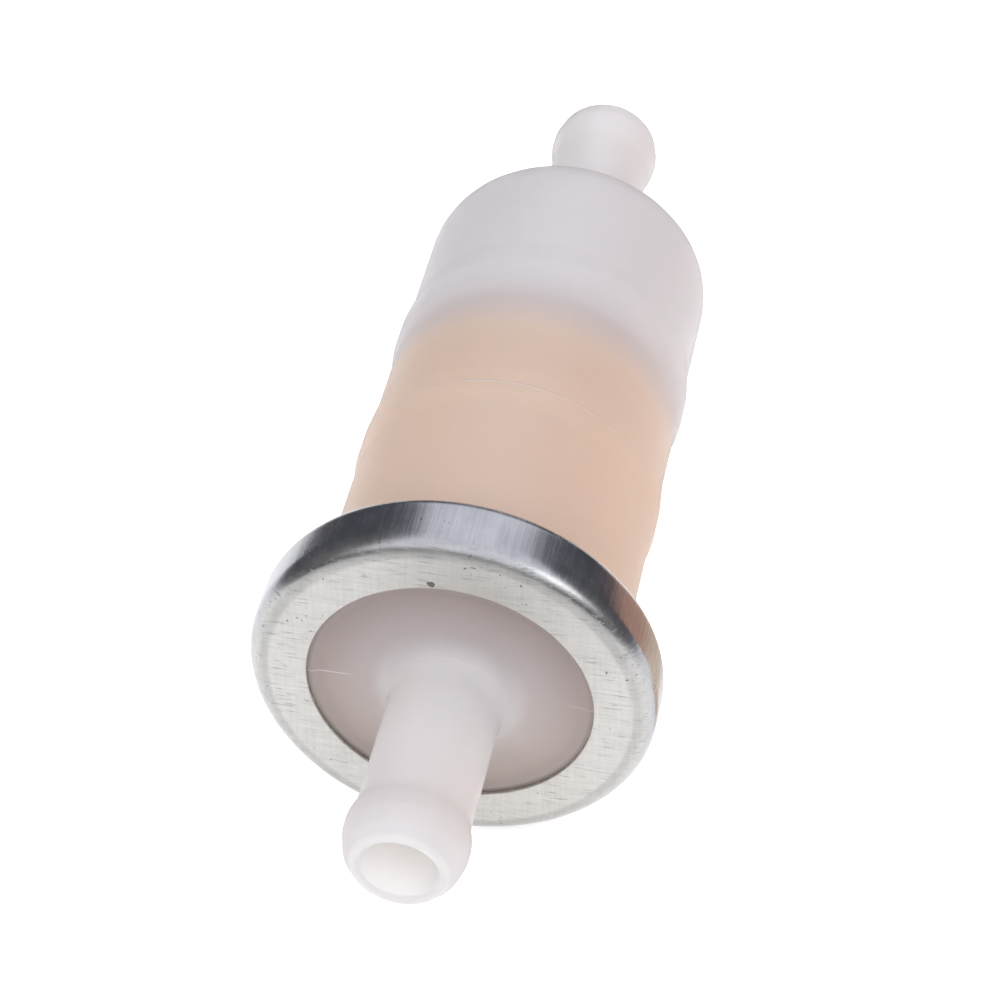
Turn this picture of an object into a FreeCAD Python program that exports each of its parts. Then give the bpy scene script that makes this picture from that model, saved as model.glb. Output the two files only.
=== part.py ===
import FreeCAD, Part
import math
import os

# In-line fuel filter for a small engine, crimped shut for life.
# Row frame: +X runs along the filter towards the inlet stub, +Z is up, and the origin is on the
# axis, halfway between the tips of the two hose stubs. All sizes are in millimetres.

os.makedirs("parts", exist_ok=True)

# ---- Driving dimensions ----
overall_length = 90.0
outlet_reach = 18.0            # outlet stub's tip to the crimp ring's face
housing_reach = 54.5           # crimp ring's face to the housing's end wall

ring_radius = 16.0
ring_width = 5.5
ring_opening_radius = 11.25
ring_corner = 1.6              # outside rounding of the ring's front edge
ring_back_corner = 1.5
ring_back_lip_radius = 13.1    # inner edge of the lip that is rolled behind the flange
sheet = 0.4                    # steel sheet thickness
cut_edge = 0.15                # rounding of the sheet's cut edges

zone_radii = (12.25, 12.2, 12.15)   # cup outside: ring to first band, between bands, outer end
cup_radius = 10.85             # cup inside
end_wall = 1.6
shoulder = 5.0                 # rounding where the cup turns into its end wall
flange_foot_rounding = 0.6
flange_back_slack = 0.1        # how much rounder the flange's back edge is than the steel around it
small_rounding = 0.4           # small edges inside
lead_rounding = 0.3            # edges that guide one piece into another
band_radius = 12.5             # two shallow raised bands around the cup
band_rounding = 2.5
# Where each band starts to rise, reaches full radius, starts to fall and ends, from the ring's face.
band_edges = ((20.3, 21.7, 24.2, 27.6), (34.3, 35.6, 38.2, 40.6))
flange_radius = 15.55
cover_rim = 1.8
disc_joint_rounding = 0.5      # where the lid's inner face meets its spigot and its register
lid_dish = 0.2                 # how far the lid's face lies below its rim
lid_dish_radius = 10.2
lid_dish_slope = 0.7           # radial width of the slope from the dish up to the rim
lid_dish_rounding = 1.5
register_depth = 1.8           # how far the cover plugs into the cup
register_wall = 1.3
moulding_gap = 0.05            # radial play between pieces that slide together

stub_radius = 4.36
bead_radius = 4.78
bead_land = 1.2
bead_back = 1.3                # axial length of the slope behind the bead
lead_in = 2.6                  # axial length from the tip to the bead's land
bead_front_rounding = 1.2
bead_back_rounding = 0.4
bead_foot_rounding = 1.5
tip_radius = 3.6
tip_rounding = 0.25
nose_place = 1.1               # the nose curves most this far behind the tip
nose_bulge = 0.22              # and stands this far outside a straight cone there
nose_rounding = 1.6
tip_mouth_radius = 3.2
bore_radius = 2.9
stub_fillet = 3.0

seal_inner_radius = 12.65
seal_width = 1.5
seal_thickness = 1.0

spigot_radius = 4.2
spigot_end = 8.4               # end of the cover's inner spigot, from the ring's face
spigot_seal_depth = 0.7
spigot_seal_width = 1.1
spigot_seal_place = 6.3

cap_radius = 10.3
cap_rim = 0.4
cap_floor = 1.1
cap_rim_depth = 2.4
outlet_cap_face = 5.0          # outer face of each end cap, from the ring's face
inlet_cap_face = 37.8
collar_wall = 0.45

core_wall = 0.5
core_hole_radius = 0.8
core_rows = 9
core_columns = 8

pleat_count = 30
pleat_outer_radius = 9.8
pleat_inner_radius = 5.45
pleat_fold_radius = 0.3        # fold radius at the middle of the paper
paper = 0.32
potting_depth = 1.3
potting_under_paper = 0.4

parting_line_height = 0.08
parting_line_width = 0.16

# ---- Places along the axis that follow from them ----
axis_x = FreeCAD.Vector(1, 0, 0)
origin = FreeCAD.Vector(0, 0, 0)
outlet_tip = -overall_length / 2
inlet_tip = overall_length / 2
ring_face = outlet_tip + outlet_reach
housing_end = ring_face + housing_reach
cover_front = ring_face + sheet
flange_front = cover_front + cover_rim
flange_back = ring_face + ring_width - sheet
core_inner_radius = spigot_radius + moulding_gap + collar_wall + moulding_gap
core_radius = core_inner_radius + core_wall
outlet_cap_inside = ring_face + outlet_cap_face + cap_floor
inlet_cap_inside = ring_face + inlet_cap_face - cap_floor


def tangent_arc(before, corner, after, radius):
    """The arc of this radius that rounds off a corner between two straight sides."""
    back = (before - corner).normalize()
    ahead = (after - corner).normalize()
    half = math.acos(max(-1.0, min(1.0, back.dot(ahead)))) / 2
    start = corner + back * (radius / math.tan(half))
    end = corner + ahead * (radius / math.tan(half))
    centre = corner + (back + ahead).normalize() * (radius / math.sin(half))
    middle = centre + (corner - centre).normalize() * radius
    return start, middle, end


def outline_wire(corners):
    """A closed outline from corners (x, r) or (x, r, rounding), in the X-Z half plane."""
    points = [FreeCAD.Vector(corner[0], 0, corner[1]) for corner in corners]
    roundings = [corner[2] if len(corner) > 2 else 0 for corner in corners]
    count = len(points)
    starts = []
    ends = []
    arcs = []
    for index, (point, radius) in enumerate(zip(points, roundings)):
        if radius:
            start, middle, end = tangent_arc(points[index - 1], point, points[(index + 1) % count], radius)
            arcs.append(Part.Arc(start, middle, end).toShape())
        else:
            start = end = point
            arcs.append(None)
        starts.append(start)
        ends.append(end)
    edges = []
    for index in range(count):
        if arcs[index]:
            edges.append(arcs[index])
        following = starts[(index + 1) % count]
        if (following - ends[index]).Length > 1e-6:
            edges.append(Part.LineSegment(ends[index], following).toShape())
    return Part.Wire(edges)


def turned(corners):
    """A solid of revolution about the filter's axis."""
    return Part.Face(outline_wire(corners)).revolve(origin, axis_x, 360)


def ring_at(place, inner_radius, width, depth, rounding):
    """A seal of rounded section: width along X, depth along the radius."""
    return turned([(place - width / 2, inner_radius, rounding),
                   (place - width / 2, inner_radius + depth, rounding),
                   (place + width / 2, inner_radius + depth, rounding),
                   (place + width / 2, inner_radius, rounding)])


def stub_corners(tip, outward):
    """Outline of a beaded hose stub, from its bore's mouth to its shaft; outward is +1 or -1 along X."""
    land_start = tip - outward * lead_in
    land_end = land_start - outward * bead_land
    return [(tip - outward * (tip_mouth_radius - bore_radius), bore_radius),
            (tip, tip_mouth_radius),
            (tip, tip_radius, tip_rounding),
            (tip - outward * nose_place, (tip_radius + bead_radius) / 2 + nose_bulge, nose_rounding),
            (land_start, bead_radius, bead_front_rounding),
            (land_end, bead_radius, bead_back_rounding),
            (land_end - outward * bead_back, stub_radius, bead_foot_rounding)]


def inlet_housing():
    """The moulded cup: flange, two shallow bands, rounded end, and the inlet stub."""
    seal_floor = flange_front + seal_thickness
    seal_outer_radius = seal_inner_radius + seal_width
    bands = []
    for edges, before, after in zip(band_edges, zone_radii, zone_radii[1:]):
        for edge, radius in zip(edges, (before, band_radius, band_radius, after)):
            bands.append((ring_face + edge, radius, band_rounding))
    body_root = zone_radii[0]
    body_end = zone_radii[-1]
    stub = stub_corners(inlet_tip, 1)
    corners = [(flange_front, cup_radius),
               (flange_front, seal_inner_radius),
               (seal_floor, seal_inner_radius),
               (seal_floor, seal_outer_radius),
               (flange_front, seal_outer_radius),
               (flange_front, flange_radius),
               (flange_back, flange_radius, ring_back_corner - sheet + flange_back_slack),
               (flange_back, body_root, flange_foot_rounding)]
    corners += bands
    corners += [(housing_end, body_end, shoulder),
                (housing_end, stub_radius, stub_fillet)]
    corners += stub[::-1]
    corners += [(housing_end - end_wall, bore_radius),
                (housing_end - end_wall, cup_radius, shoulder - body_end + cup_radius)]
    return turned(corners)


def outlet_cover():
    """The moulded lid: rim under the crimp, dished face, outlet stub, and inner spigot."""
    register_end = flange_front + register_depth
    groove_start = ring_face + spigot_seal_place - spigot_seal_width / 2
    groove_end = groove_start + spigot_seal_width
    groove_radius = spigot_radius + moulding_gap - spigot_seal_depth
    dish_floor = cover_front + lid_dish
    corners = stub_corners(outlet_tip, -1)
    corners += [(dish_floor, stub_radius, stub_fillet),
                (dish_floor, lid_dish_radius, lid_dish_rounding),
                (cover_front, lid_dish_radius + lid_dish_slope, small_rounding),
                (cover_front, flange_radius, ring_corner - sheet + moulding_gap),
                (flange_front, flange_radius),
                (flange_front, cup_radius - moulding_gap),
                (register_end, cup_radius - moulding_gap, lead_rounding),
                (register_end, cup_radius - register_wall),
                (flange_front, cup_radius - register_wall, disc_joint_rounding),
                (flange_front, spigot_radius, disc_joint_rounding),
                (groove_start, spigot_radius),
                (groove_start, groove_radius),
                (groove_end, groove_radius),
                (groove_end, spigot_radius),
                (ring_face + spigot_end, spigot_radius, small_rounding),
                (ring_face + spigot_end, bore_radius)]
    lid = turned(corners)
    inner = stub_radius + stub_fillet
    ridges = []
    for side in (-1, 1):
        low = min(side * inner, side * lid_dish_radius)
        ridges.append(Part.makeBox(2 * parting_line_height, lid_dish_radius - inner, parting_line_width,
                                   FreeCAD.Vector(dish_floor - parting_line_height, low,
                                                  -parting_line_width / 2)))
    return lid.fuse(ridges)


def crimp_ring():
    """Plated steel ring of C section, rolled over the cover's rim and the housing's flange."""
    back = ring_face + ring_width
    inside = ring_radius - sheet
    return turned([(ring_face, ring_opening_radius, cut_edge),
                   (ring_face, ring_radius, ring_corner),
                   (back, ring_radius, ring_back_corner),
                   (back, ring_back_lip_radius, cut_edge),
                   (flange_back, ring_back_lip_radius, cut_edge),
                   (flange_back, inside, ring_back_corner - sheet),
                   (cover_front, inside, ring_corner - sheet),
                   (cover_front, ring_opening_radius, cut_edge)])


def cover_seal():
    """Flat rubber ring squeezed between the cover's rim and the housing's flange."""
    return ring_at(flange_front + seal_thickness / 2, seal_inner_radius, seal_thickness, seal_width,
                   small_rounding)


def spigot_seal():
    """Rubber ring in the spigot's groove, bearing on the collar of the outlet end cap."""
    return ring_at(ring_face + spigot_seal_place, spigot_radius + moulding_gap - spigot_seal_depth,
                   spigot_seal_width, spigot_seal_depth, lead_rounding)


def outlet_end_cap():
    """Open end cap: floor, outer rim, and a collar that slides over the spigot."""
    face = ring_face + outlet_cap_face
    rim_end = outlet_cap_inside + cap_rim_depth
    bore = spigot_radius + moulding_gap
    return turned([(face, bore, lead_rounding),
                   (face, cap_radius, small_rounding),
                   (rim_end, cap_radius),
                   (rim_end, cap_radius - cap_rim),
                   (outlet_cap_inside, cap_radius - cap_rim),
                   (outlet_cap_inside, bore + collar_wall),
                   (rim_end, bore + collar_wall),
                   (rim_end, bore)])


def inlet_end_cap():
    """Closed end cap: it makes the fuel go in through the paper from outside."""
    face = ring_face + inlet_cap_face
    rim_end = inlet_cap_inside - cap_rim_depth
    return turned([(face, 0),
                   (face, cap_radius, small_rounding),
                   (rim_end, cap_radius),
                   (rim_end, cap_radius - cap_rim),
                   (inlet_cap_inside, cap_radius - cap_rim),
                   (inlet_cap_inside, 0)])


def core_tube():
    """Perforated tube that keeps the paper from collapsing inwards."""
    length = inlet_cap_inside - outlet_cap_inside
    start = FreeCAD.Vector(outlet_cap_inside, 0, 0)
    tube = Part.makeCylinder(core_radius, length, start, axis_x)
    tube = tube.cut(Part.makeCylinder(core_inner_radius, length, start, axis_x))
    pitch = length / (core_rows + 1)
    holes = []
    for row in range(core_rows):
        place = outlet_cap_inside + pitch * (row + 1)
        for column in range(core_columns):
            angle = math.radians(360 / core_columns * (column + row % 2 / 2))
            outward = FreeCAD.Vector(0, math.cos(angle), math.sin(angle))
            holes.append(Part.makeCylinder(core_hole_radius, 2 * core_radius,
                                           FreeCAD.Vector(place, 0, 0), outward))
    return tube.cut(holes)


def fold_wire(side, place):
    """One face of the pleated paper as a closed wire; side is +1 outside and -1 inside."""
    half_pitch = math.pi / pleat_count
    crest = pleat_outer_radius - paper / 2 - pleat_fold_radius
    root = pleat_inner_radius + paper / 2 + pleat_fold_radius
    crest_radius = pleat_fold_radius + side * paper / 2
    root_radius = pleat_fold_radius - side * paper / 2

    def at(radius, angle):
        return FreeCAD.Vector(place, radius * math.cos(angle), radius * math.sin(angle))

    flank = at(root, half_pitch) - at(crest, 0)
    lean = math.atan2(flank.z, -flank.y)
    squeeze = math.asin(2 * pleat_fold_radius / flank.Length)
    normal_angle = math.pi / 2 - lean - squeeze
    edges = []
    for pleat in range(pleat_count):
        turn = 2 * half_pitch * pleat
        crest_centre = at(crest, turn)
        root_centre = at(root, turn + half_pitch)
        next_crest_centre = at(crest, turn + 2 * half_pitch)

        def off(centre, radius, angle):
            return centre + FreeCAD.Vector(0, radius * math.cos(angle), radius * math.sin(angle))

        leave = turn + normal_angle
        arrive = turn + 2 * half_pitch - normal_angle
        crest_start = off(crest_centre, crest_radius, turn - normal_angle)
        crest_end = off(crest_centre, crest_radius, leave)
        root_start = off(root_centre, root_radius, leave + math.pi)
        root_end = off(root_centre, root_radius, arrive + math.pi)
        next_start = off(next_crest_centre, crest_radius, arrive)
        crest_top = off(crest_centre, crest_radius, turn)
        root_top = off(root_centre, root_radius, turn + half_pitch + math.pi)
        edges += [Part.Arc(crest_start, crest_top, crest_end).toShape(),
                  Part.LineSegment(crest_end, root_start).toShape(),
                  Part.Arc(root_start, root_top, root_end).toShape(),
                  Part.LineSegment(root_end, next_start).toShape()]
    return Part.Wire(edges)


def pleated_paper():
    """One strip of filter paper folded into a closed star."""
    start = outlet_cap_inside + potting_under_paper
    length = inlet_cap_inside - potting_under_paper - start
    outside = Part.Face(fold_wire(1, start)).extrude(axis_x * length)
    inside = Part.Face(fold_wire(-1, start)).extrude(axis_x * length)
    return outside.cut(inside)


def potting(start, paper_solid):
    """Adhesive bed that holds the paper's edge in an end cap."""
    base = FreeCAD.Vector(start, 0, 0)
    bed = Part.makeCylinder(cap_radius - cap_rim, potting_depth, base, axis_x)
    bed = bed.cut(Part.makeCylinder(core_radius, potting_depth, base, axis_x))
    return bed.cut(paper_solid)


paper_solid = pleated_paper()
nodes = {
    "inlet_housing": inlet_housing(),
    "outlet_cover": outlet_cover(),
    "crimp_ring": crimp_ring(),
    "cover_seal": cover_seal(),
    "spigot_seal": spigot_seal(),
    "outlet_end_cap": outlet_end_cap(),
    "inlet_end_cap": inlet_end_cap(),
    "core_tube": core_tube(),
    "pleated_paper": paper_solid,
    "outlet_potting": potting(outlet_cap_inside, paper_solid),
    "inlet_potting": potting(inlet_cap_inside - potting_depth, paper_solid),
}

for name, shape in nodes.items():
    shape.exportStep("parts/" + name + ".step")
    box = shape.BoundBox
    print(name, "solids", len(shape.Solids), "valid", shape.isValid(), "volume", round(shape.Volume, 1),
          "x", round(box.XMin, 2), round(box.XMax, 2), "r", round(box.ZMax, 2))
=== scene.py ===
import math

import bmesh
import bpy
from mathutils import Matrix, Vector


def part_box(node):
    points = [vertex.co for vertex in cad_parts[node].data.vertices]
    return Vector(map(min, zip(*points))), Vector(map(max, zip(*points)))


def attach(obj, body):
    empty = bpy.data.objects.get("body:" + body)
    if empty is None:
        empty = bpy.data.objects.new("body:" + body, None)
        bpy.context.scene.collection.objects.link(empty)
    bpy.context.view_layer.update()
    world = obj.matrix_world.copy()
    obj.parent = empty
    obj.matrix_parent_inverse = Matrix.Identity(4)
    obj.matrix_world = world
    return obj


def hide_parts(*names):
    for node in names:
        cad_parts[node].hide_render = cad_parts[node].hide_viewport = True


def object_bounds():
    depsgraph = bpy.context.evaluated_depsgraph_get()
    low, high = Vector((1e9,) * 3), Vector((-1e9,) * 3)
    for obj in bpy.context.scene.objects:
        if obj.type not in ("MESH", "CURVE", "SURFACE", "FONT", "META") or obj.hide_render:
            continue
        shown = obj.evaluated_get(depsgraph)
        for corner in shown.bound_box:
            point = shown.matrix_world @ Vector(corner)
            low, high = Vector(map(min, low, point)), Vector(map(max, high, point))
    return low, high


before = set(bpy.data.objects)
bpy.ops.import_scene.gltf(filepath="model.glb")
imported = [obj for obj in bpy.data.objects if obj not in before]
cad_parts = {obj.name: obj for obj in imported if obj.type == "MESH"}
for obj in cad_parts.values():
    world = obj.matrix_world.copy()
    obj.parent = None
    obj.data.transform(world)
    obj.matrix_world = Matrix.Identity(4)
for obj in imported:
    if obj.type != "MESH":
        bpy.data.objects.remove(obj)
cad_low, cad_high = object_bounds()

# ---- Inlet housing ----------------------------------------------------------------------------
# One injection moulding in natural, milky nylon: a deep cup with a flange at its open end, two
# shallow bands round its wall, a rounded bottom and a beaded hose stub. The crimp ring holds it by
# the flange.

mm = 0.001
sheet = 0.4 * mm
bore_radius = 2.9 * mm
stub_radius = 4.36 * mm
bead_radius = 4.78 * mm
tip_radius = 3.6 * mm
tip_mouth_radius = 3.2 * mm
stub_fillet = 3.0 * mm
nose_place = 1.1 * mm
nose_bulge = 0.22 * mm
bead_place = 2.6 * mm
bead_land = 1.2 * mm
bead_slope = 1.3 * mm
wall_thickness = 1.6 * mm
ring_low, ring_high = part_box("crimp_ring")
housing_low, housing_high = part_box("inlet_housing")
ring_face = ring_low.x
flange_front = housing_low.x
flange_radius = housing_high.z
flange_back = ring_high.x - sheet
housing_end = ring_face + 54.5 * mm
cup_radius = 10.85 * mm
zone_radii = (12.25 * mm, 12.2 * mm, 12.15 * mm)
band_radius = 12.5 * mm
band_edges = ((20.3 * mm, 21.7 * mm, 24.2 * mm, 27.6 * mm),
              (34.3 * mm, 35.6 * mm, 38.2 * mm, 40.6 * mm))
mould_line = ring_face + 22.5 * mm


def lathe(corners, turns=288):
    """A ring-shaped solid turned about the X axis from corners (x, radius) or (x, radius, rounding)."""
    points = [Vector((corner[0], 0, corner[1])) for corner in corners]
    solid = bmesh.new()
    outline = []
    for index, corner in enumerate(corners):
        point = points[index]
        if len(corner) == 2:
            outline.append(solid.verts.new(point))
            continue
        back = (points[index - 1] - point).normalized()
        ahead = (points[(index + 1) % len(points)] - point).normalized()
        half = back.angle(ahead) / 2
        centre = point + (back + ahead).normalized() * (corner[2] / math.sin(half))
        start = (point + back * (corner[2] / math.tan(half)) - centre).normalized()
        end = (point + ahead * (corner[2] / math.tan(half)) - centre).normalized()
        pieces = max(2, math.ceil((math.pi - 2 * half) / math.radians(9)))
        outline += [solid.verts.new(centre + start.slerp(end, step / pieces) * corner[2])
                    for step in range(pieces + 1)]
    for index, vert in enumerate(outline):
        solid.edges.new((outline[index - 1], vert))
    bmesh.ops.spin(solid, geom=solid.verts[:] + solid.edges[:], cent=(0, 0, 0), axis=(1, 0, 0),
                   dvec=(0, 0, 0), angle=2 * math.pi, steps=turns, use_merge=True)
    bmesh.ops.remove_doubles(solid, verts=solid.verts[:], dist=0.0005 * mm)
    bmesh.ops.recalc_face_normals(solid, faces=solid.faces[:])
    return solid


def as_piece(name, solid):
    """Turns a finished bmesh into a smooth-shaded object with crisp edges where faces meet steeply."""
    for face in solid.faces:
        face.smooth = True
    for edge in solid.edges:
        edge.smooth = edge.calc_face_angle(0) < math.radians(35)
    mesh = bpy.data.meshes.new(name)
    solid.to_mesh(mesh)
    solid.free()
    piece = bpy.data.objects.new(name, mesh)
    bpy.context.scene.collection.objects.link(piece)
    return piece


def stub_corners(tip, outward):
    """Outline of a beaded hose stub, from the mouth of its bore back to its shaft."""
    land_start = tip - outward * bead_place
    land_end = land_start - outward * bead_land
    return [(tip - outward * (tip_mouth_radius - bore_radius), bore_radius, 0.2 * mm),
            (tip, tip_mouth_radius, 0.12 * mm),
            (tip, tip_radius, 0.25 * mm),
            (tip - outward * nose_place, (tip_radius + bead_radius) / 2 + nose_bulge, 1.6 * mm),
            (land_start, bead_radius, 1.2 * mm),
            (land_end, bead_radius, 2.6 * mm),
            (land_end - outward * bead_slope, stub_radius, 3.0 * mm)]


seal_inner_radius = 12.65 * mm
seal_floor = flange_front + 1.0 * mm
seal_outer_radius = seal_inner_radius + 1.5 * mm
housing_corners = [(flange_front, cup_radius, 0.2 * mm),
                   (flange_front, seal_inner_radius, 0.1 * mm),
                   (seal_floor, seal_inner_radius, 0.1 * mm),
                   (seal_floor, seal_outer_radius, 0.1 * mm),
                   (flange_front, seal_outer_radius, 0.1 * mm),
                   (flange_front, flange_radius, 0.15 * mm),
                   (flange_back, flange_radius, 1.2 * mm),
                   (flange_back, zone_radii[0], 0.6 * mm)]
for edges, before, after in zip(band_edges, zone_radii, zone_radii[1:]):
    for edge, radius in zip(edges, (before, band_radius, band_radius, after)):
        housing_corners.append((ring_face + edge, radius, 2.5 * mm))
housing_corners += [(housing_end, zone_radii[-1], 5.0 * mm),
                    (housing_end, stub_radius, stub_fillet)]
housing_corners += stub_corners(housing_high.x, 1)[::-1]
housing_corners += [(housing_end - wall_thickness, bore_radius, 0.3 * mm),
                    (housing_end - wall_thickness, cup_radius, 3.75 * mm)]
housing = as_piece("inlet_cup", lathe(housing_corners))


class Shade:
    """A value or colour inside one material, so that shader maths reads as Python expressions."""

    def __init__(self, tree, socket):
        self.tree = tree
        self.socket = socket

    def node(self, kind, settings, inputs, out=0):
        """Any shader node: its settings first, then plain values or other shades on its sockets."""
        made = self.tree.nodes.new("ShaderNode" + kind)
        for name, value in settings.items():
            setattr(made, name, value)
        for name, value in inputs.items():
            if isinstance(value, Shade):
                self.tree.links.new(value.socket, made.inputs[name])
            else:
                made.inputs[name].default_value = value
        return Shade(self.tree, made.outputs[out])

    def maths(self, operation, first, second=0.0):
        return self.node("Math", {"operation": operation}, {0: first, 1: second})

    def __add__(self, other):
        return self.maths("ADD", self, other)

    def __radd__(self, other):
        return self.maths("ADD", other, self)

    def __sub__(self, other):
        return self.maths("SUBTRACT", self, other)

    def __rsub__(self, other):
        return self.maths("SUBTRACT", other, self)

    def __mul__(self, other):
        return self.maths("MULTIPLY", self, other)

    def __rmul__(self, other):
        return self.maths("MULTIPLY", other, self)

    def __pow__(self, other):
        return self.maths("POWER", self, other)

    def __abs__(self):
        return self.maths("ABSOLUTE", self)

    def rise(self, low, high):
        """0 below low, 1 above high, and a soft ramp between."""
        return self.node("MapRange", {"interpolation_type": "SMOOTHSTEP"},
                         {"Value": self, "From Min": low, "From Max": high})

    def mixed(self, first, second):
        """The first colour where this mask is 0 and the second where it is 1."""
        return self.node("Mix", {"data_type": "RGBA"}, {0: self, 6: first, 7: second}, out=2)

    def axis(self, index):
        return self.node("SeparateXYZ", {}, {0: self}, out=index)

    def stretched(self, x, y, z):
        """These coordinates with so many pattern units per metre along each axis."""
        return self.node("VectorMath", {"operation": "MULTIPLY"}, {0: self, 1: (x, y, z)})

    def noise(self, detail=2.0, roughness=0.5):
        """Cloudy noise, one feature to a pattern unit, from 0 to 1 about 0.5."""
        return self.node("TexNoise", {}, {"Vector": self, "Scale": 1.0, "Detail": detail,
                                          "Roughness": roughness})

    def radius(self):
        """Distance from the filter's axis."""
        return (self.axis(1) ** 2 + self.axis(2) ** 2) ** 0.5


def colour(red, green, blue):
    return (red, green, blue, 1.0)


def new_finish(name, **fixed):
    """A material with these fixed shader settings; also gives its object coordinates."""
    material = bpy.data.materials.new(name)
    material.use_nodes = True
    shader = material.node_tree.nodes["Principled BSDF"]
    for socket, value in fixed.items():
        shader.inputs[socket.replace("_", " ")].default_value = value
    place = material.node_tree.nodes.new("ShaderNodeTexCoord")
    return material, Shade(material.node_tree, place.outputs["Object"])


def feed(material, height=None, relief=0.0, **sockets):
    """Links what varies over the surface to the shader; a height of 1 stands relief metres proud."""
    tree = material.node_tree
    shader = tree.nodes["Principled BSDF"]
    for name, value in sockets.items():
        tree.links.new(value.socket, shader.inputs[name.replace("_", " ")])
    if height is not None:
        bump = height.node("Bump", {}, {"Strength": 1.0, "Distance": relief, "Height": height})
        tree.links.new(bump.socket, shader.inputs["Normal"])


paper_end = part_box("pleated_paper")[1].x


def nylon(name):
    """Milky natural nylon: cloudy inside, satin outside, tinted where the paper shows through."""
    material, place = new_finish(name, Transmission_Weight=0.48, IOR=1.53, Subsurface_Weight=0.65,
                                 Subsurface_Radius=(1.0, 0.9, 0.95), Subsurface_Scale=2.5 * mm,
                                 Specular_IOR_Level=0.4)
    cloud = place.stretched(140, 140, 140).noise(detail=3)
    grain = place.stretched(2600, 2600, 2600).noise(detail=2)
    scuff = place.stretched(300, 1400, 1400).noise(detail=4, roughness=0.7).rise(0.6, 0.8)
    along = place.axis(0)
    side = place.axis(1)
    height = place.axis(2)
    radius = place.radius()

    # Where the element shows through; a painted shadow of its end cap on the wall; and painted shade over
    # the lid, darkest towards its rim, which also stands for the dark inside showing through.
    past_paper = along.rise(paper_end - 7.5 * mm, paper_end - 0.5 * mm)
    behind = along.rise(ring_face, ring_face + 6 * mm) * (1 - past_paper)
    past_cap = along.rise(paper_end - 3 * mm, paper_end + 1.5 * mm)
    cap_shadow = along.rise(paper_end - 6.5 * mm, paper_end - 3 * mm) * (1 - past_cap)
    wall = radius.rise(7.5 * mm, 11 * mm)
    lid_zone = 1 - along.rise(ring_face + 1 * mm, ring_face + 4 * mm)
    lid_see_through_and_painted_shade = radius.rise(4.2 * mm, 6.6 * mm) * 0.64 + radius.rise(6 * mm, 10.5 * mm) * 0.28

    # Fine marks that the mould leaves: a ring at the stub's foot, and lines on the wall and the lid. The
    # foot ring and the wall's line, which runs only over the upper side, are also painted lighter, as
    # painted highlights.
    foot_ring_and_painted_highlight = 1 - abs(radius - 4.85 * mm).rise(0.02 * mm, 0.08 * mm)
    mould_line_and_painted_highlight = (1 - abs(along - mould_line).rise(0.03 * mm, 0.14 * mm)) * height.rise(4 * mm, 9 * mm)
    lid_line = (1 - abs(height).rise(0.03 * mm, 0.12 * mm)) * lid_zone
    parting_line = lid_line * (side.rise(7.4 * mm, 8.2 * mm) + (-1 * side).rise(9 * mm, 9.6 * mm) * 0.5)

    # Painted shade darkens the stubs towards their tips, painted light makes them paler next to the lid,
    # and a painted glow makes them creamy round the mouth.
    tip_painted_shade = abs(along).rise(housing_end, housing_end + 12 * mm)
    before_lid = 1 - along.rise(ring_face, ring_face + 2 * mm)
    stub_root_painted_light = (along.rise(ring_face - 16 * mm, ring_face - 5 * mm) * before_lid
                 * (1 - radius.rise(4.4 * mm, 5.2 * mm)))
    mouth = abs(along).rise(cad_high.x - 0.5 * mm, cad_high.x - 0.1 * mm)

    milky = cloud.mixed(colour(0.90, 0.86, 0.845), colour(0.93, 0.89, 0.875))
    milky = tip_painted_shade.mixed(milky, colour(0.86, 0.825, 0.805))
    milky = stub_root_painted_light.mixed(milky, colour(0.985, 0.91, 0.88))
    milky = mouth.mixed(milky, colour(0.96, 0.915, 0.875))
    warm = cloud.mixed(colour(0.99, 0.735, 0.575), colour(0.995, 0.755, 0.60))
    # The painted shade's tone: darker towards the top, lighter towards the bottom.
    painted_shade_tone = height.rise(-9 * mm, 9 * mm).mixed(colour(0.565, 0.465, 0.405), colour(0.44, 0.355, 0.325))
    tinted = (behind * wall * 0.95).mixed(milky, warm)
    tinted = (cap_shadow * wall * 0.2).mixed(tinted, painted_shade_tone)
    # Painted shade over the lid, partly standing for the dark inside seen through it.
    tinted = (lid_zone * lid_see_through_and_painted_shade).mixed(tinted, painted_shade_tone)
    # Painted highlights lighten the wall's line and the foot ring; the lid's parting lines are lighter
    # too.
    marks = mould_line_and_painted_highlight * 0.4 + parting_line * 0.6 + foot_ring_and_painted_highlight * lid_zone * 0.3
    bumps = grain * 0.5 + cloud * 1.2 + scuff * 0.4 + foot_ring_and_painted_highlight * 2 + (mould_line_and_painted_highlight + parting_line) * 3
    feed(material, Base_Color=marks.mixed(tinted, colour(0.97, 0.93, 0.92)),
         Roughness=0.5 + cloud * 0.06 + scuff * 0.1, height=bumps, relief=0.012 * mm)
    return material


def finish_moulding(piece):
    """Milky nylon all over, and inside the bore a creamier colour: a painted glow standing for the light
    that soaks through.
    """
    bore_finish, place = new_finish(piece.name + "_bore", Transmission_Weight=0.25, IOR=1.53,
                                    Subsurface_Weight=0.8, Subsurface_Radius=(1.0, 0.95, 0.9),
                                    Subsurface_Scale=3.0 * mm, Specular_IOR_Level=0.3)
    haze = place.stretched(140, 140, 140).noise(detail=3)
    bore_painted_glow = haze.mixed(colour(0.96, 0.92, 0.875), colour(0.97, 0.94, 0.90))
    feed(bore_finish, Base_Color=bore_painted_glow, Roughness=0.5 + haze * 0.1, height=haze, relief=0.012 * mm)
    piece.data.materials.append(nylon(piece.name + "_nylon"))
    piece.data.materials.append(bore_finish)
    for face in piece.data.polygons:
        in_bore = math.hypot(face.center.y, face.center.z) < bore_radius + 0.04 * mm
        face.material_index = int(in_bore)


finish_moulding(housing)
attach(housing, "root")
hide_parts("inlet_housing")

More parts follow.
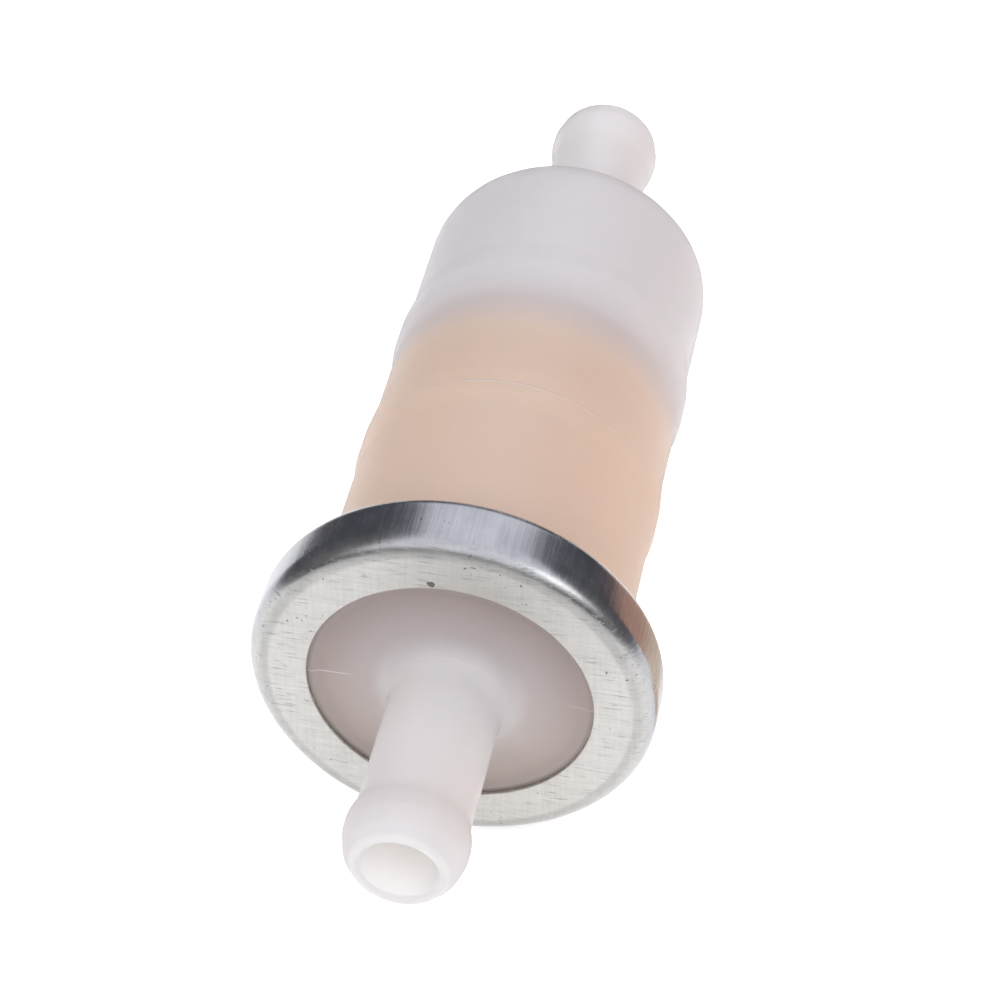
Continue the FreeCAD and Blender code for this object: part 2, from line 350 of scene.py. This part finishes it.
# ---- Filter element ---------------------------------------------------------------------------
# A strip of resin-bonded filter paper folded into a star round a perforated core, with its two edges
# set in adhesive inside moulded end caps. The caps and core keep their shapes; only finishes are new.

paper_finish, place = new_finish("filter_paper", Specular_IOR_Level=0.2, Subsurface_Weight=0.25,
                                 Subsurface_Radius=(1.0, 0.6, 0.4), Subsurface_Scale=0.6 * mm)
fibres = place.stretched(900, 2600, 2600).noise(detail=5, roughness=0.7)
blotch = place.stretched(160, 160, 160).noise(detail=2)
paper_colour = (fibres * 0.6 + blotch * 0.4).mixed(colour(0.80, 0.44, 0.26), colour(0.92, 0.58, 0.38))
feed(paper_finish, Base_Color=paper_colour, Roughness=0.8 + fibres * 0.15, height=fibres, relief=0.05 * mm)

cap_finish, place = new_finish("cap_moulding", Specular_IOR_Level=0.45)
mottle = place.stretched(500, 500, 500).noise(detail=3)
cap_colour = mottle.mixed(colour(0.30, 0.26, 0.26), colour(0.38, 0.33, 0.33))
feed(cap_finish, Base_Color=cap_colour, Roughness=0.5 + mottle * 0.1, height=mottle, relief=0.02 * mm)

resin_finish, place = new_finish("potting_resin", Specular_IOR_Level=0.5)
ripple = place.stretched(300, 700, 700).noise(detail=2)
resin_colour = ripple.mixed(colour(0.62, 0.42, 0.22), colour(0.72, 0.52, 0.3))
feed(resin_finish, Base_Color=resin_colour, Roughness=0.25 + ripple * 0.1, height=ripple, relief=0.08 * mm)

rubber_finish, place = new_finish("seal_rubber", Specular_IOR_Level=0.35)
bloom = place.stretched(900, 900, 900).noise(detail=3)
rubber_colour = bloom.mixed(colour(0.02, 0.02, 0.02), colour(0.05, 0.05, 0.052))
feed(rubber_finish, Base_Color=rubber_colour, Roughness=0.55 + bloom * 0.2, height=bloom, relief=0.01 * mm)

kept_nodes = {"pleated_paper": paper_finish, "inlet_end_cap": cap_finish, "outlet_end_cap": cap_finish,
              "core_tube": cap_finish, "inlet_potting": resin_finish, "outlet_potting": resin_finish,
              "cover_seal": rubber_finish, "spigot_seal": rubber_finish}
for node_name, material in kept_nodes.items():
    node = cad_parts[node_name]
    node.data.materials.clear()
    node.data.materials.append(material)

# ---- Outlet cover -----------------------------------------------------------------------------
# The lid, moulded in the same nylon: a rim that the crimp ring clamps, a slightly dished face with
# the mould's parting line across it, the outlet stub, and a spigot inside that carries the element.

cover_low, cover_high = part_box("outlet_cover")
cover_front = ring_face + sheet
dish_floor = cover_front + 0.2 * mm
dish_radius = 10.2 * mm
spigot_radius = 4.2 * mm
spigot_end = cover_high.x
groove_start = ring_face + 5.75 * mm
groove_end = groove_start + 1.1 * mm
groove_radius = 3.55 * mm
register_radius = cup_radius - 0.05 * mm
register_end = flange_front + 1.8 * mm
register_inside = register_radius - 1.25 * mm
cover_corners = stub_corners(cover_low.x, -1)
cover_corners += [(dish_floor, stub_radius, stub_fillet),
                  (dish_floor, dish_radius, 1.5 * mm),
                  (cover_front, dish_radius + 0.7 * mm, 0.4 * mm),
                  (cover_front, flange_radius, 1.25 * mm),
                  (flange_front, flange_radius, 0.15 * mm),
                  (flange_front, register_radius),
                  (register_end, register_radius, 0.3 * mm),
                  (register_end, register_inside, 0.2 * mm),
                  (flange_front, register_inside, 0.5 * mm),
                  (flange_front, spigot_radius, 0.5 * mm),
                  (groove_start, spigot_radius),
                  (groove_start, groove_radius),
                  (groove_end, groove_radius),
                  (groove_end, spigot_radius),
                  (spigot_end, spigot_radius, 0.4 * mm),
                  (spigot_end, bore_radius, 0.2 * mm)]
cover = as_piece("outlet_lid", lathe(cover_corners))
finish_moulding(cover)
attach(cover, "root")
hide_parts("outlet_cover")

# ---- Crimp ring -------------------------------------------------------------------------------
# A washer of zinc-plated steel sheet, drawn into a shallow cup and rolled over behind the flange. Its
# face keeps the sheet's straight rolling grain; its side carries fine marks along the axis.

ring_radius = ring_high.z
opening_radius = 11.25 * mm
lip_radius = 13.1 * mm
ring_corners = [(ring_face, opening_radius, 0.12 * mm),
                (ring_face, ring_radius, 1.6 * mm),
                (ring_high.x, ring_radius, 1.5 * mm),
                (ring_high.x, lip_radius, 0.15 * mm),
                (flange_back, lip_radius, 0.12 * mm),
                (flange_back, ring_radius - sheet, 1.1 * mm),
                (cover_front, ring_radius - sheet, 1.2 * mm),
                (cover_front, opening_radius, 0.12 * mm)]
ring = as_piece("crimped_ring", lathe(ring_corners, turns=360))

steel, place = new_finish("zinc_plated_steel", Metallic=1.0)
spangle = place.stretched(420, 420, 420).noise(detail=3)
rolled = (place.stretched(3000, 160, 3400).noise(detail=4, roughness=0.7) * 0.6
          + place.stretched(3000, 3600, 240).noise(detail=3, roughness=0.7) * 0.4)
scratch = place.stretched(3000, 420, 5200).noise(detail=3, roughness=0.6).rise(0.57, 0.70)
drawn = place.stretched(120, 2600, 2600).noise(detail=4, roughness=0.7)
radius = place.radius()
on_face = 1 - place.axis(0).rise(ring_face + 0.1 * mm, ring_face + 0.9 * mm)
flat = 1 - place.axis(0).rise(ring_face + 0.02 * mm, ring_face + 0.25 * mm)
lines = on_face.mixed(drawn, rolled).axis(0)
speck = (place.stretched(2600, 2600, 2600).noise(detail=1).rise(0.70, 0.73)
         * place.stretched(260, 260, 260).noise().rise(0.52, 0.62))
pit_centre = (ring_face, 1.2 * mm, 11.65 * mm)
from_pit = place.node("VectorMath", {"operation": "DISTANCE"}, {0: place, 1: pit_centre}, out=1)
ragged = place.stretched(3600, 3600, 3600).noise(detail=3) * 0.7 * mm
pit = 1 - (from_pit + ragged).rise(0.56 * mm, 0.62 * mm)
face_colour = rolled.mixed(colour(0.36, 0.352, 0.328), colour(0.765, 0.75, 0.70))
# The side is darker than the face: partly its drawn streaks, partly painted shade that dims its
# reflections.
side_colour = (drawn * 0.55 + spangle * 0.45).mixed(colour(0.18, 0.18, 0.185), colour(0.64, 0.64, 0.64))
# Darker round the outer edge of the face and into its rounding.
outer_rim_darkening = radius.rise(14.1 * mm, 14.5 * mm) * on_face * (0.18 + spangle * 0.35)
zinc = outer_rim_darkening.mixed(on_face.mixed(side_colour, face_colour), colour(0.27, 0.27, 0.26))
marks = scratch * on_face * 0.4 + speck * 0.8 + pit
marks = marks.node("Clamp", {}, {0: marks})
steel_colour = marks.mixed(zinc, colour(0.16, 0.16, 0.155))
feed(steel, Base_Color=steel_colour, Roughness=0.17 + spangle * 0.1 + lines * 0.08 + flat * 0.25,
     height=lines - scratch * on_face - pit * 4, relief=0.012 * mm)
ring.data.materials.append(steel)
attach(ring, "root")
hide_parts("crimp_ring")

# ---- Studio -----------------------------------------------------------------------------------
# A pale table in a white room, a soft all-round light with four lamps in it, and the camera looking
# down at the outlet end. Some boards are seen only by the metal, and the room's wall by the camera.

floor_height = cad_low.z - 0.05 * mm
floor_mesh = bmesh.new()
bmesh.ops.create_grid(floor_mesh, x_segments=1, y_segments=1, size=3.0)
bmesh.ops.translate(floor_mesh, verts=floor_mesh.verts[:], vec=(0, 0, floor_height))
floor = as_piece("table", floor_mesh)
table_finish, place = new_finish("white_table", Roughness=0.9, Specular_IOR_Level=0.2,
                                 Emission_Strength=0.48)
clouds = place.stretched(9, 9, 9).noise(detail=3)
table_colour = clouds.mixed(colour(0.93, 0.93, 0.93), colour(0.96, 0.96, 0.96))
feed(table_finish, Base_Color=table_colour, Emission_Color=table_colour)
floor.data.materials.append(table_finish)

elevation = math.radians(43.41)
heading = math.radians(11.26)
forward = Vector((math.cos(elevation) * math.cos(heading), math.cos(elevation) * math.sin(heading),
                  -math.sin(elevation)))
right = Vector((math.sin(heading), -math.cos(heading), 0))
up = right.cross(forward)
aim = Vector((ring_face, 0, 0)) + right * 3.92 * mm + up * 14.91 * mm
camera_data = bpy.data.cameras.new("camera")
camera_data.sensor_width = 36.0
camera_data.lens = 116.6
camera_data.clip_start = 0.01
camera_data.clip_end = 20.0
camera = bpy.data.objects.new("camera", camera_data)
camera.location = aim - forward * 248.2 * mm
camera.rotation_mode = "QUATERNION"
camera.rotation_quaternion = forward.to_track_quat("-Z", "Y")
bpy.context.scene.collection.objects.link(camera)
bpy.context.scene.camera = camera


def softbox(name, direction, distance, size, power, tone=(1.0, 1.0, 1.0), mirrored=False):
    """A square area light aimed at the filter from this direction; metal mirrors it only if told to."""
    light_data = bpy.data.lights.new(name, "AREA")
    light_data.size = size
    light_data.energy = power
    light_data.color = tone
    light = bpy.data.objects.new(name, light_data)
    out = Vector(direction).normalized()
    light.location = out * distance
    light.rotation_mode = "QUATERNION"
    light.rotation_quaternion = (-out).to_track_quat("-Z", "Y")
    light.visible_camera = False
    light.visible_glossy = mirrored
    bpy.context.scene.collection.objects.link(light)


softbox("front_light", (-0.60, -0.60, 0.5), 0.8, 0.3, 0.42, mirrored=True)
softbox("key_light", (-0.58, -0.1, 0.8), 0.8, 0.6, 1.62)
softbox("warm_light", (0.5, -0.85, 0.1), 0.5, 0.2, 0.4, tone=(1.0, 0.56, 0.25))
softbox("left_light", (-0.1, 0.9, 0.4), 0.6, 0.3, 0.75, tone=(1.0, 0.95, 0.9))


def board(name, mesh, glow, seen_by):
    """A glowing, shadowless piece of the studio that only one kind of ray sees."""
    piece = as_piece(name, mesh)
    finish = new_finish(name + "_finish", Emission_Color=colour(*glow), Emission_Strength=1.0,
                        Base_Color=colour(0, 0, 0), Specular_IOR_Level=0.0)[0]
    piece.data.materials.append(finish)
    for ray in ("camera", "diffuse", "glossy", "transmission", "shadow"):
        setattr(piece, "visible_" + ray, ray == seen_by)


def card_mesh(width, depth, place, facing=(0, 0, 1)):
    """A flat rectangle at this place, turned to face this way."""
    card = bmesh.new()
    bmesh.ops.create_grid(card, x_segments=1, y_segments=1, size=0.5)
    bmesh.ops.scale(card, verts=card.verts[:], vec=(width, depth, 1))
    turn = Vector(facing).to_track_quat("Z", "Y").to_matrix()
    bmesh.ops.rotate(card, verts=card.verts[:], matrix=turn)
    bmesh.ops.translate(card, verts=card.verts[:], vec=place)
    return card


def drum_mesh(radius, depth, place):
    """An open upright cylinder about this place."""
    drum = bmesh.new()
    bmesh.ops.create_cone(drum, cap_ends=False, segments=96, radius1=radius, radius2=radius, depth=depth)
    bmesh.ops.translate(drum, verts=drum.verts[:], vec=place)
    return drum


flag_mesh = drum_mesh(120 * mm, 36 * mm, (ring_face, 0, cad_low.z + 18 * mm))
warm_mesh = card_mesh(34 * mm, 24 * mm, (9.5 * mm, -45 * mm, cad_low.z + 12 * mm), (-0.73, 0.68, 0))
glow_mesh = card_mesh(36 * mm, 22 * mm, (0, -34 * mm, cad_low.z + 0.5 * mm))
wall_mesh = drum_mesh(2.9, 4.0, (0, 0, cad_low.z + 1.99))
board("flag", flag_mesh, (0.10, 0.10, 0.12), "glossy")
board("warm_card", warm_mesh, (0.75, 0.45, 0.36), "glossy")
board("floor_glow", glow_mesh, (0.96, 0.79, 0.63), "glossy")
board("backdrop", wall_mesh, (1, 1, 1), "camera")

world = bpy.data.worlds.new("soft_room")
world.use_nodes = True
bpy.context.scene.world = world
sky = Shade(world.node_tree, world.node_tree.nodes.new("ShaderNodeTexCoord").outputs["Generated"])
across = abs(sky.axis(1) - sky.axis(0) * 0.12 + 0.1) * (sky.axis(0) * 0.5 + 0.85)
bank = sky.axis(2).rise(0.08, 0.4) * (1 - across.rise(0.36, 0.55))
wall = (sky.axis(0) * -0.5 + 0.5).mixed(colour(0.08, 0.09, 0.12), colour(0.30, 0.29, 0.29))
room = bank.mixed(wall, colour(1.18, 1.21, 1.35))
world.node_tree.links.new(room.socket, world.node_tree.nodes["Background"].inputs["Color"])
bpy.context.scene.view_settings.view_transform = "Standard"
